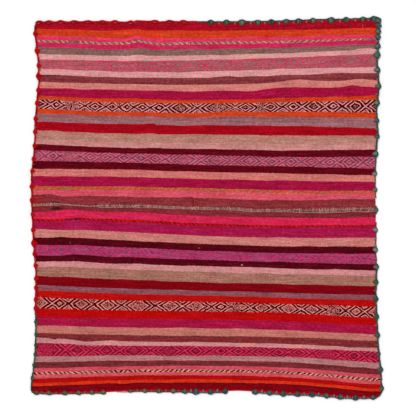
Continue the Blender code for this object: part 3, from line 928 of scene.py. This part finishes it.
def band_weave(name, middle):
    """Lozenges nested round the places where a band's diagonal lines cross."""
    light, dark, light_share, rings = BAND_TONES[name]
    graph = Graph("wool_" + name.replace(" ", "_"))
    u, v = graph.mapped("Weave")
    bend = graph.noise(u, v, 0.022, 0.016) - 0.5
    x = graph.math("SNAP", bend * 0.010 + u, 0.0026)
    y = abs(bend * 0.004 + graph.math("SNAP", v - middle, 0.0009))
    dark_crossings, light_crossings = BAND_CROSSINGS[name]
    gaps = [abs(x - place) for place in dark_crossings]
    gaps += [abs(x - place) + LINE_STEP / LINE_SLOPE for place in light_crossings]
    depth = graph.fold("MINIMUM", gaps) * (LINE_SLOPE / LINE_STEP) - y / LINE_STEP
    is_light = graph.math("COMPARE", graph.math("FRACT", depth * 0.5 + 0.25), 0.75, light_share / 2)
    broken = graph.noise(u, v, 0.018, 0.007) > 0.73
    stretches = [abs(x - place) < half for place, half in BAND_MIXTURES[name]]
    mixed = graph.fold("MAXIMUM", [depth > rings, depth < -OUTER_RINGS, *stretches, broken])
    share = is_light * (1.0 - mixed) + mixture(graph, u, v, light_share) * mixed
    swapped = abs(share - graph.attribute("under", "Fac"))
    return cloth_finish(graph, u, v, graph.mix(swapped, opaque(dark), opaque(light)))


def twist_weave(name, middle):
    """A narrow stripe of two yarns that cross over each other in short slanting marks."""
    ground, mark, pitch, slope, share, turns, mixed = TWISTS[name]
    graph = Graph("wool_" + name.replace(" ", "_"))
    u, v = graph.mapped("Weave")
    lean = (v - middle) * slope
    for place in turns:
        lean = lean * graph.math("SIGN", place - u)
    place = lean + u + graph.noise(u, v, 0.030, 0.030) * 0.012
    is_mark = graph.math("FRACT", (place + 1.0) / pitch) < share
    for stretch, half, amount in mixed:
        inside = graph.math("COMPARE", u, stretch, half)
        is_mark = is_mark * (1.0 - inside) + inside * (graph.speckle(u, v) < amount)
    is_mark = abs(is_mark - (graph.speckle(u, v) > 0.90))
    return cloth_finish(graph, u, v, graph.mix(is_mark, opaque(ground), opaque(mark)))


def yarn_material(name):
    """Plied yarn: fine slanting plies, loose fibres and uneven dye."""
    graph = Graph(name)
    u, v = graph.mapped("Yarn")
    turn = u / PLY_PITCH + v
    ply = graph.math("SINE", turn * (2 * math.pi))
    fibres = graph.noise(turn, v, 0.35, 0.12, 3.0)
    dye = graph.noise(u, v, 0.012, 3.0, 2.0)
    light = graph.range(ply, -1.0, 1.0, 0.72, 1.10)
    light = light * graph.sway(fibres, 0.14, 0.3, 0.7) * graph.sway(dye, 0.15, 0.3, 0.7)
    roughness = graph.range(fibres, 0.2, 0.8, 0.75, 0.95)
    colour = graph.scale(graph.attribute("tone", "Color"), light)
    return graph.wool(colour, fibres * 0.5 + ply, YARN_DEPTH, roughness)


class Yarn:
    """Tubes of yarn gathered into one piece."""

    SIDES = 6

    def __init__(self):
        self.points, self.faces, self.tones, self.places = [], [], [], []
        self.count = 0

    def strand(self, path, radius, tones):
        """Add one tube along a path. Radius and tones are single or one for each point."""
        path = np.asarray(path, dtype=float)
        n = len(path)
        radius = np.broadcast_to(np.asarray(radius, dtype=float).reshape(-1, 1), (n, 1))
        tones = np.broadcast_to(np.asarray(tones, dtype=float).reshape(-1, 3), (n, 3))
        tangent = np.gradient(path, axis=0)
        tangent /= np.linalg.norm(tangent, axis=1)[:, None]
        side = np.zeros_like(path)
        start = np.cross(tangent[0], (0.0, 0.0, 1.0))
        side[0] = start / np.linalg.norm(start) if np.linalg.norm(start) > 0.05 else (1.0, 0.0, 0.0)
        for k in range(1, n):
            turned = side[k - 1] - tangent[k] * np.dot(side[k - 1], tangent[k])
            side[k] = turned / np.linalg.norm(turned)
        rise = np.cross(side, tangent)
        angles = np.arange(self.SIDES)[:, None] * 2 * math.pi / self.SIDES
        around = np.cos(angles) * side[:, None] + np.sin(angles) * rise[:, None]
        self.points.append((path[:, None] + radius[:, None] * around).reshape(-1, 3))
        lengths = np.concatenate([[0.0], np.cumsum(np.linalg.norm(np.diff(path, axis=0), axis=1))])
        first = self.count
        for k in range(n - 1):
            a, b = first + k * self.SIDES, first + (k + 1) * self.SIDES
            near, far = lengths[k], lengths[k + 1]
            for c in range(self.SIDES):
                d = (c + 1) % self.SIDES
                low, high = c / self.SIDES, (c + 1) / self.SIDES
                self.faces.append((a + c, a + d, b + d, b + c))
                self.tones.append((tones[k], tones[k], tones[k + 1], tones[k + 1]))
                self.places.append(((near, low), (near, high), (far, high), (far, low)))
        for k, flip in ((0, True), (n - 1, False)):
            ring = [first + k * self.SIDES + c for c in range(self.SIDES)]
            half = self.SIDES // 2
            for quad in ((0, 1, 2, half), (half, half + 1, half + 2, 0)):
                corners = [ring[q] for q in quad]
                self.faces.append(tuple(corners[::-1] if flip else corners))
                self.tones.append((tones[k],) * 4)
                self.places.append(tuple((lengths[k], q / self.SIDES) for q in quad))
        self.count += n * self.SIDES

    def build(self, name, material):
        points = np.concatenate(self.points)
        points[:, 2] = np.maximum(points[:, 2], 0.0)
        return make_piece(name, points, self.faces, [material], np.array(self.tones), {"Yarn": self.places})


class Rim:
    """The cloth's outline as one smooth line, clockwise from the top left corner."""

    LOOK = 0.0055

    def __init__(self, upper, lower):
        sides = {
            "top": upper[:-1, 0],
            "right": np.concatenate([upper[-1], lower[-1]])[:-1],
            "bottom": lower[:0:-1, -1],
            "left": np.concatenate([lower[0, ::-1], upper[0, ::-1]])[:-1],
        }
        self.bounds = {}
        points = []
        for side, line in sides.items():
            self.bounds[side] = (len(points), len(points) + len(line))
            points += list(line)
        self.points = np.array([*points, points[0]])
        steps = np.linalg.norm(np.diff(self.points, axis=0), axis=1)
        self.lengths = np.concatenate([[0.0], np.cumsum(steps)])

    def at(self, side, place):
        """Length along the outline of a place on one side, x along top and bottom and y elsewhere."""
        first, last = self.bounds[side]
        places = self.points[first : last + 1, 0 if side in ("top", "bottom") else 1]
        lengths = self.lengths[first : last + 1]
        if places[0] > places[-1]:
            places, lengths = places[::-1], lengths[::-1]
        return float(np.interp(place, places, lengths))

    def ends(self, side):
        first, last = self.bounds[side]
        return self.lengths[first], self.lengths[last]

    def point(self, length):
        length = np.mod(length, self.lengths[-1])
        return np.stack([np.interp(length, self.lengths, self.points[:, k]) for k in (0, 1)], axis=-1)

    def station(self, length):
        """Points and outward normals at some lengths."""
        length = np.asarray(length, dtype=float)
        tangent = self.point(length + self.LOOK) - self.point(length - self.LOOK)
        tangent /= np.linalg.norm(tangent, axis=-1, keepdims=True)
        return self.point(length), np.stack([-tangent[..., 1], tangent[..., 0]], axis=-1)


def shell_table(rim):
    """Lengths along the outline at which the shells stand, and their sizes."""
    rows = []
    for side, places in SHELLS.items():
        rows += [(rim.at(side, place), ODD_SHELLS[side].get(place, 1.0)) for place in places]
    return np.array(sorted(rows))


class Edging:
    """The sizes and tones of one run of the edging, read at a length along the outline."""

    def __init__(self, shells, places, styles):
        self.shells, self.places = shells, places
        self.sizes = np.array([EDGING_SIZES[style] for style in styles])
        self.tones = np.array([[linear(tone) for tone in EDGING_TONES[style]] for style in styles])

    def size(self, column, lengths):
        return np.interp(lengths, self.places, self.sizes[:, column])

    def tone(self, column, lengths):
        parts = [np.interp(lengths, self.places, self.tones[:, column, k]) for k in range(3)]
        return np.stack(parts, axis=-1)

    def out(self, lengths):
        """Distance of the cord's middle from the cloth's edge: further out over each shell."""
        lengths = np.asarray(lengths, dtype=float)
        gaps = np.abs(lengths[:, None] - self.shells[None, :, 0])
        size = self.shells[gaps.argmin(axis=1), 1]
        share = np.clip(1 - gaps.min(axis=1) / (self.size(BULGE_LENGTH, lengths) * size), 0.0, 1.0)
        reach = self.size(BULGE_REACH, lengths) * size * share * share * (3 - 2 * share)
        return CORD_MIDDLE * self.size(THICKNESS, lengths) + reach


def outside(rim, lengths, out, height):
    """Points at some distance outside the rim and some height."""
    place, normal = rim.station(lengths)
    place = place + normal * np.asarray(out)[..., None]
    return np.column_stack([place, np.broadcast_to(height, len(place))])


def add_cord(yarn, rim, edging, start, end):
    """Two strands twisted round each other along the rim."""
    count = max(4, round((end - start) / CORD_STEP))
    lengths = np.linspace(start, end, count)
    along = np.linspace(-0.6, 0.6, count)
    thickness = edging.size(THICKNESS, lengths)
    out = edging.out(lengths) + wander(along, 0.02, 0.0005)
    for half in (0, 1):
        angle = 2 * math.pi * lengths / CORD_PITCH + half * math.pi
        swing = STRAND_SWING * thickness * np.cos(angle)
        path = outside(rim, lengths, out + swing, CORD_HEIGHT + STRAND_RISE * np.sin(angle))
        size = STRAND_RADIUS * thickness * (1 + wander(along, 0.03, 0.10))
        shade = np.clip(1 + wander(along, 0.012, 0.20), 0.5, 1.5)
        yarn.strand(path, size, edging.tone(half, lengths) * shade[:, None])


def add_shell(yarn, rim, edging, middle, size):
    """Posts side by side, from a rounded end in the cloth out to the cord."""
    depth = edging.size(SHELL_DEPTH, middle) * size * rng.uniform(0.88, 1.10)
    inner = edging.size(INNER_WIDTH, middle) * size * rng.uniform(0.90, 1.10)
    outer = edging.size(OUTER_WIDTH, middle) * size * rng.uniform(0.92, 1.06)
    dark, pale = edging.tone(SHELL_DARK, middle), edging.tone(SHELL_PALE, middle)
    foot = middle + rng.normal(0.0, 0.0006)
    centre = rng.uniform(0.35, 1.0)
    for place in POST_PLACES:
        end = middle + place * outer
        start = foot + place * inner
        reach = -depth * (1 - POST_ROUNDING * place * place)
        out = float(edging.out([end])[0]) + rng.normal(0.0, 0.0003)
        shares = np.linspace(0.0, 1.0, 8)
        lengths = start + (end - start) * shares**1.3
        heights = SHEET + 0.0008 + 0.0011 * np.sin(shares * math.pi) + 0.0002 * rng.normal()
        heights[0] = SHEET - 0.0003
        path = outside(rim, lengths, reach + (out - reach) * shares, heights)
        blend = np.clip(centre * (1 - place * place) + rng.normal(0.0, 0.22), 0.0, 1.0)
        blend = blend * np.sin(shares * math.pi)[:, None] ** 0.7
        tone = (dark * (1 - blend) + pale * blend) * rng.uniform(0.80, 1.15)
        yarn.strand(path, POST_RADIUS * (0.70 + 0.42 * np.sin(shares * 2.2 + 0.35)), tone)


def add_glint_knot(yarn, rim, middle):
    """A short stitch that lies on a shell, its bright tone a painted highlight for the glint there."""
    lengths = middle + np.linspace(-GLINT_KNOT_HALF_LENGTH, GLINT_KNOT_HALF_LENGTH, 7) + rng.normal(0.0, 0.001)
    heights = SHEET + 0.0024 + 0.0006 * np.cos(np.linspace(-1.5, 1.5, 7))
    path = outside(rim, lengths, rng.uniform(-0.0026, -0.0004), heights)
    radius = GLINT_KNOT_RADIUS * np.cos(np.linspace(-1.1, 1.1, 7))
    yarn.strand(path, radius, linear(GLINT_KNOT_TONE) * rng.uniform(0.55, 1.15))


def add_tick(yarn, rim, edging, middle):
    """One small forked stitch that holds the cord to the cloth midway between two shells."""
    depth = edging.size(TICK_DEPTH, middle) * rng.uniform(0.8, 1.2)
    outs = np.linspace(-depth, edging.out([middle])[0], 7)
    heights = np.array([SHEET - 0.0004, *[SHEET + 0.0007] * 4, CORD_HEIGHT + 0.0009, CORD_HEIGHT + 0.0004])
    for lean in (-0.3, 0.3):
        lengths = middle + np.linspace(0.0, 1.0, 7) * lean * depth + rng.normal(0.0, 0.0003)
        tone = edging.tone(TICK_TONE, middle) * rng.uniform(0.75, 1.15)
        yarn.strand(outside(rim, lengths, outs, heights), TICK_RADIUS, tone)


def add_loose_end(yarn, rim, start):
    """A loose grey end of yarn that lies along the bare cloth."""
    lengths = np.linspace(start, start + LOOSE_END_LENGTH, 24)
    path = outside(rim, lengths, 0.0016 + 0.0008 * np.sin(np.linspace(0.0, 5.0, 24)), 0.0016)
    yarn.strand(path, np.linspace(0.0014, 0.0009, 24), linear(LOOSE_END_TONE))


def build_edging_run(name, rim, shells, yarns):
    side, slot, stops = EDGING_RUNS[name]
    corners = dict(zip((0, len(stops) - 1), rim.ends(side)))
    places = [corners[k] if place is None else rim.at(side, place) for k, (place, _) in enumerate(stops)]
    start, end = places[0], places[-1]
    edging = Edging(shells, places, [style for _, style in stops])
    yarn = Yarn()
    add_cord(yarn, rim, edging, start, end)
    inside = [(middle, size) for middle, size in shells if start <= middle < end]
    for middle, size in inside:
        add_shell(yarn, rim, edging, middle, size)
        # Painted highlights: a bright stitch laid on each red shell
        if name == GLINT_KNOT_RUN:
            add_glint_knot(yarn, rim, middle)
    for (a, _), (b, _) in zip(inside, inside[1:]):
        if b - a > TICK_ROOM:
            add_tick(yarn, rim, edging, (a + b) / 2 + rng.normal(0.0015, 0.0015))
    if name == LOOSE_END_RUN:
        add_loose_end(yarn, rim, end)
    item = yarn.build(name + "_yarn", yarns[slot])
    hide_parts(name)


def lay_seam_cords(yarn, left, right):
    """Two-strand cords laid along the seam."""
    x = np.arange(left, right, SEAM_CORD_STEP)
    reach = np.maximum(read(STITCH_WIDTHS, x) - SEAM_CORD_INSET, 0.0)
    for side in SEAM_CORD_SIDES:
        out = read(SEAM_LINE, x) + side * reach + wander(x, 0.024, 0.0007)
        for half, tone in enumerate(SEAM_CORD_TONES):
            angle = 2 * math.pi * x / SEAM_CORD_PITCH + half * math.pi + side
            height = SEAM_TOP + 0.0003 + 0.0005 * np.sin(angle)
            path = np.column_stack([x, out + SEAM_CORD_SWING * np.cos(angle), height])
            shade = np.clip(1 + wander(x, 0.012, 0.20), 0.5, 1.4)
            radius = SEAM_CORD_RADIUS * (1 + wander(x, 0.02, 0.14))
            yarn.strand(path, radius, linear(tone) * shade[:, None])


def build_seam(material):
    """Two cords laid along the seam, with short upright stitches over both inner selvedges."""
    left = float(read(LEFT_EDGE, SEAM_LINE[0][1])) + SEAM_END_LEFT
    right = float(read(RIGHT_EDGE, SEAM_LINE[-1][1])) - SEAM_END_RIGHT
    yarn = Yarn()
    lay_seam_cords(yarn, left, right)
    tones = [linear(tone) for tone in SEAM_TONES]
    shares = np.linspace(-1.0, 1.0, 9)
    heights = SEAM_TOP - 0.0006 + 0.0010 * np.sqrt(np.clip(1 - shares**2, 0.0, 1.0)) ** 0.6
    x = left
    while x < right:
        middle, half = read(SEAM_LINE, x), read(STITCH_WIDTHS, x)
        tone = tones[rng.integers(len(tones))] * rng.uniform(0.82, 1.12)
        radius = STITCH_RADIUS * rng.uniform(0.8, 1.2)
        reach = half * (shares + rng.uniform(-0.30, 0.20) * (shares > 0))
        path = np.column_stack([x + rng.normal(0.0003, 0.0012) * shares, middle + reach, heights])
        if half > STITCH_SHORTEST:
            yarn.strand(path, radius, tone)
        below = path[::2].copy()
        below[:, 0] += STITCH_PITCH / 2
        below[:, 2] = SEAM_RISE - 0.0001
        yarn.strand(below, radius * 0.6, tones[rng.integers(len(tones))])
        x += STITCH_PITCH * rng.uniform(0.75, 1.30)
    item = yarn.build("seam_stitch_yarn", material)
    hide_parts("seam_stitch")


def make_weaves(panels):
    """One material for each weave, with the height across the cloth of the stripe that wears it."""
    weaves = {"plain": plain_weave()}
    for panel, up_to in panels:
        for k, (name, *_) in enumerate(panel.stripes):
            middle = (panel.across[k] + panel.across[k + 1]) / 2 + up_to
            if name in BAND_TONES:
                weaves[name] = band_weave(name, middle)
            elif name in TWISTS:
                weaves[name] = twist_weave(name, middle)
    return weaves


def build_blanket():
    upper = Stripes(UPPER_STRIPES, UPPER_COURSES, top_line, above_seam)
    lower = Stripes(LOWER_STRIPES, LOWER_COURSES, below_seam, bottom_line)
    upper_start = -upper.across[-1]
    weaves = make_weaves(((upper, upper_start), (lower, LOWER_START)))
    cloth_upper, upper_grid = build_panel("cloth_upper", upper, weaves, upper_start)
    cloth_lower, lower_grid = build_panel("cloth_lower", lower, weaves, LOWER_START)
    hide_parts("panel_upper")
    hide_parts("panel_lower")
    rim = Rim(upper_grid, lower_grid)
    shells = shell_table(rim)
    yarns = {slot: yarn_material(slot + "_look") for slot in ("red_yarn", "green_yarn")}
    for name in EDGING_RUNS:
        build_edging_run(name, rim, shells, yarns)
    build_seam(yarn_material("seam_wool_look"))


def build_floor():
    mesh = bpy.data.meshes.new("floor")
    corners = [(side * FLOOR_HALF, end * FLOOR_HALF, 0) for side, end in ((-1, -1), (1, -1), (1, 1), (-1, 1))]
    mesh.from_pydata(corners, [], [(0, 1, 2, 3)])
    floor = bpy.data.objects.new("floor", mesh)
    floor.location.z = -FLOOR_DROP
    bpy.context.scene.collection.objects.link(floor)
    looks = {"Base Color": (0.98, 0.98, 0.98, 1.0), "Roughness": 0.9}
    mesh.materials.append(Graph("floor_white").finish(looks))


def add_light(name, place, spread, power):
    """A broad even light that comes from the side of a place."""
    light = bpy.data.lights.new(name, "SUN")
    light.angle = math.radians(spread)
    light.energy = power
    item = bpy.data.objects.new(name, light)
    item.location = place
    aim = -item.location.normalized()
    item.rotation_mode = "QUATERNION"
    item.rotation_quaternion = aim.to_track_quat("-Z", "Y")
    bpy.context.scene.collection.objects.link(item)


def build_stage():
    build_floor()
    world = bpy.data.worlds.new("studio")
    world.use_nodes = True
    backdrop = world.node_tree.nodes["Background"]
    backdrop.inputs["Color"].default_value = (1.0, 1.0, 1.0, 1.0)
    backdrop.inputs["Strength"].default_value = BACKDROP_STRENGTH
    bpy.context.scene.world = world
    for row in LIGHTS:
        add_light(*row)
    bpy.context.scene.view_settings.view_transform = "Standard"
    lens = bpy.data.cameras.new("camera")
    lens.lens = LENS
    lens.sensor_width = SENSOR
    camera = bpy.data.objects.new("camera", lens)
    camera.location = (*CAMERA_MIDDLE, CAMERA_HEIGHT)
    bpy.context.scene.collection.objects.link(camera)
    bpy.context.scene.camera = camera


build_blanket()
build_stage()
